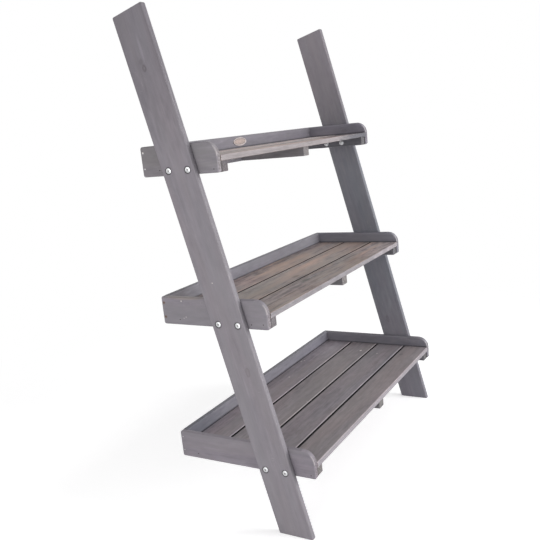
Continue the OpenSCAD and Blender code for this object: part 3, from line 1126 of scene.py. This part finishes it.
def bolt_rows(length):
    """A domed bolt's outline from its socket to its tip. length is from below its head."""
    dome = HEAD_HEIGHT - HEAD_RIM
    sphere = (HEAD_RADIUS ** 2 + dome ** 2) / (2 * dome)
    # Finish 1 is the darker socket metal: grime and painted shade
    rows = [
        (HEAD_HEIGHT - SOCKET_DEPTH - SOCKET_EASE, 0, 1),
        (HEAD_HEIGHT - SOCKET_DEPTH, hexagon(SOCKET_SIZE), 1),
        (HEAD_HEIGHT - SOCKET_EASE, hexagon(SOCKET_SIZE), 1),
    ]
    for radius in (share * HEAD_RADIUS for share in DOME_ROWS):
        rows.append((HEAD_HEIGHT - sphere + math.sqrt(sphere ** 2 - radius ** 2), radius, 0))
    rows += [(*row, 0) for row in HEAD_ROWS]
    rows.append((THREAD_LENGTH - length, BOLT_RADIUS, 0))
    count = round((THREAD_LENGTH - THREAD_RUN_OUT) / THREAD_PITCH * ROWS_PER_TURN)
    for number in range(1, count + 1):
        height = THREAD_LENGTH - length - number * THREAD_PITCH / ROWS_PER_TURN
        rows.append((height, thread(height), 0))
    rows.append((TIP_CHAMFER - length, 0.8 * BOLT_RADIUS, 0))
    return rows + [(-length, 0.68 * BOLT_RADIUS, 0), (-length, 0, 0)]


def half_way(values):
    return (min(values) + max(values)) / 2


def bolt_places():
    """Where each bolt's axis is across and up, from the washers of one side."""
    corners = [corner.co for corner in nodes["washers"].data.vertices if corner.co.x > 0]
    found = []
    for tray in TRAYS:
        low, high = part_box(tray + "_right_batten")
        part = [corner for corner in corners if low.z <= corner.z <= high.z]
        middle = half_way([corner.y for corner in part])
        for half in (-1, 1):
            one = [corner for corner in part if half * (corner.y - middle) > 0]
            found.append(tuple(half_way([corner[axis] for corner in one]) for axis in (1, 2)))
    return found


def make_bolts(places, zinc, grime_and_shade):
    """Domed bolts with hexagon sockets and threads, in place of the plain ones."""
    shape = bmesh.new()
    for side in SIDES.values():
        seat = side * (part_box("right_rail")[1].x - RECESS_DEPTH)
        for y, z in places:
            rows = bolt_rows((abs(seat) - BOLT_TIP) / MM)
            turned(shape, (seat, y, z), (side, 0, 0), (0, 0, 1), rows, BOLT_SIDES)
    bolts = new_piece("domed_bolts", shape, [zinc, grime_and_shade])
    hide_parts("bolts")


# Heights off the board and radii
NAIL_ROWS = [
    (0.1, 0), (0.1, 0.5), (0.07, 0.95), (0, 1.15), (-0.4, 1.1), (-0.8, 0.75), (-22, 0.75),
    (-24, 0),
]
SCREW_ROWS = [
    (0.82, 2.45), (0.74, 3), (0.52, 3.45), (0.2, 3.72), (0, 3.72), (0, 1.75),
    (-26, 1.75), (-30, 0),
]
# The recess in a screw's head: a height, how far its arms reach, how wide they are, and a finish
SCREW_RECESS = [(-0.5, 0, 0, 1), (-0.3, 0.75, 0.4, 1), (0.72, 1.75, 0.85, 1), (0.8, 1.85, 1, 0)]
SCREW_CLEARANCE = 7 * MM
SCREW_SHIFT = 12 * MM


def make_nails(bright, dark):
    """Nail heads on the end boards: two into each back board, and two or three into each batten."""
    rows = [(*row, 0) for row in NAIL_ROWS]
    for tray in TRAYS:
        corner_nails, batten_nails = bmesh.new(), bmesh.new()
        for side_name, side in SIDES.items():
            low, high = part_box(f"{tray}_{side_name}_end")
            face = high.x if side > 0 else low.x
            nails = [(batten_nails, low.y + ahead * MM, up) for ahead, up in BATTEN_NAILS[tray]]
            back, up = REAR_BATTEN_NAIL
            nails.append((batten_nails, high.y - back * MM, up))
            nails += [(corner_nails, high.y - back * MM, up) for back, up in CORNER_NAILS]
            for shape, y, up in nails:
                place = (face, y, low.z + up * MM)
                turned(shape, place, (side, 0, 0), (0, 0, 1), rows, NAIL_SIDES)
        new_piece(tray + "_corner_nails", corner_nails, [dark if tray == "middle" else bright])
        new_piece(tray + "_batten_nails", batten_nails, [dark])


def make_slat_screws(places, zinc, grime_and_shade):
    """Pan-headed screws, driven from below through each batten into each slat."""
    rows = [
        (height, cross(reach, width) if reach else 0, finish)
        for height, reach, width, finish in SCREW_RECESS
    ]
    rows += [(*row, 0) for row in SCREW_ROWS]
    for tray in TRAYS:
        shape = bmesh.new()
        slats = [name for name in sorted(nodes) if name.startswith(tray + "_slat")]
        for place in BATTENS:
            low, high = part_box(f"{tray}_{place}_batten")
            for slat in slats:
                y = half_way([corner.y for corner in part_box(slat)])
                if any(abs(y - bolt_y) < SCREW_CLEARANCE for bolt_y, _ in places):
                    y += SCREW_SHIFT
                head = ((low.x + high.x) / 2, y, low.z)
                turned(shape, head, (0, 0, -1), (1, 0, 0), rows, SCREW_SIDES)
        new_piece(tray + "_slat_screws", shape, [zinc, grime_and_shade])


# Half its length and height, and its middle's place on the board
PLATE_HALVES = (31, 11)
PLATE_FROM_MIDDLE = -22 * MM
PLATE_UP = 49.4 * MM
# Heights off the board, distances in from the outline, and finishes: enamel, rim or painted shade
PLATE_ROWS = [
    (0.8, None, 0), (0.8, 8, 0), (0.72, 4.9, 0), (0.7, 4.1, 2), (1.25, 3.3, 1), (1.7, 2.5, 1),
    (1.8, 1.8, 1), (1.6, 0.9, 1), (1.1, 0.35, 1), (0.6, 0.05, 2), (0, 0, 2), (0, None, 0),
]


def make_plate():
    """A bare oval plate with a raised rim, on the front of the top tray's back board."""
    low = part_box("top_back_board")[0]
    rows = []
    for height, inset, finish in PLATE_ROWS:
        outline = 0
        if inset is not None:
            outline = ellipse(*(half - inset for half in PLATE_HALVES))
        rows.append((height, outline, finish))
    shape = bmesh.new()
    centre = (PLATE_FROM_MIDDLE, low.y, low.z + PLATE_UP)
    turned(shape, centre, (0, -1, 0), (1, 0, 0), rows, PLATE_SIDES)
    new_piece("oval_plate", shape, [new_enamel(name) for name in ENAMELS])


bpy.context.scene.view_settings.view_transform = "Standard"
make_camera()
make_world()
make_floor()
make_lamps()
places = bolt_places()
dress_boards(places)
zinc, grime_and_shade, dark_steel = (new_metal(name) for name in METALS)
give_material("washers", zinc)
give_material("nuts", zinc)
make_bolts(places, zinc, grime_and_shade)
make_nails(zinc, dark_steel)
make_slat_screws(places, zinc, grime_and_shade)
make_plate()
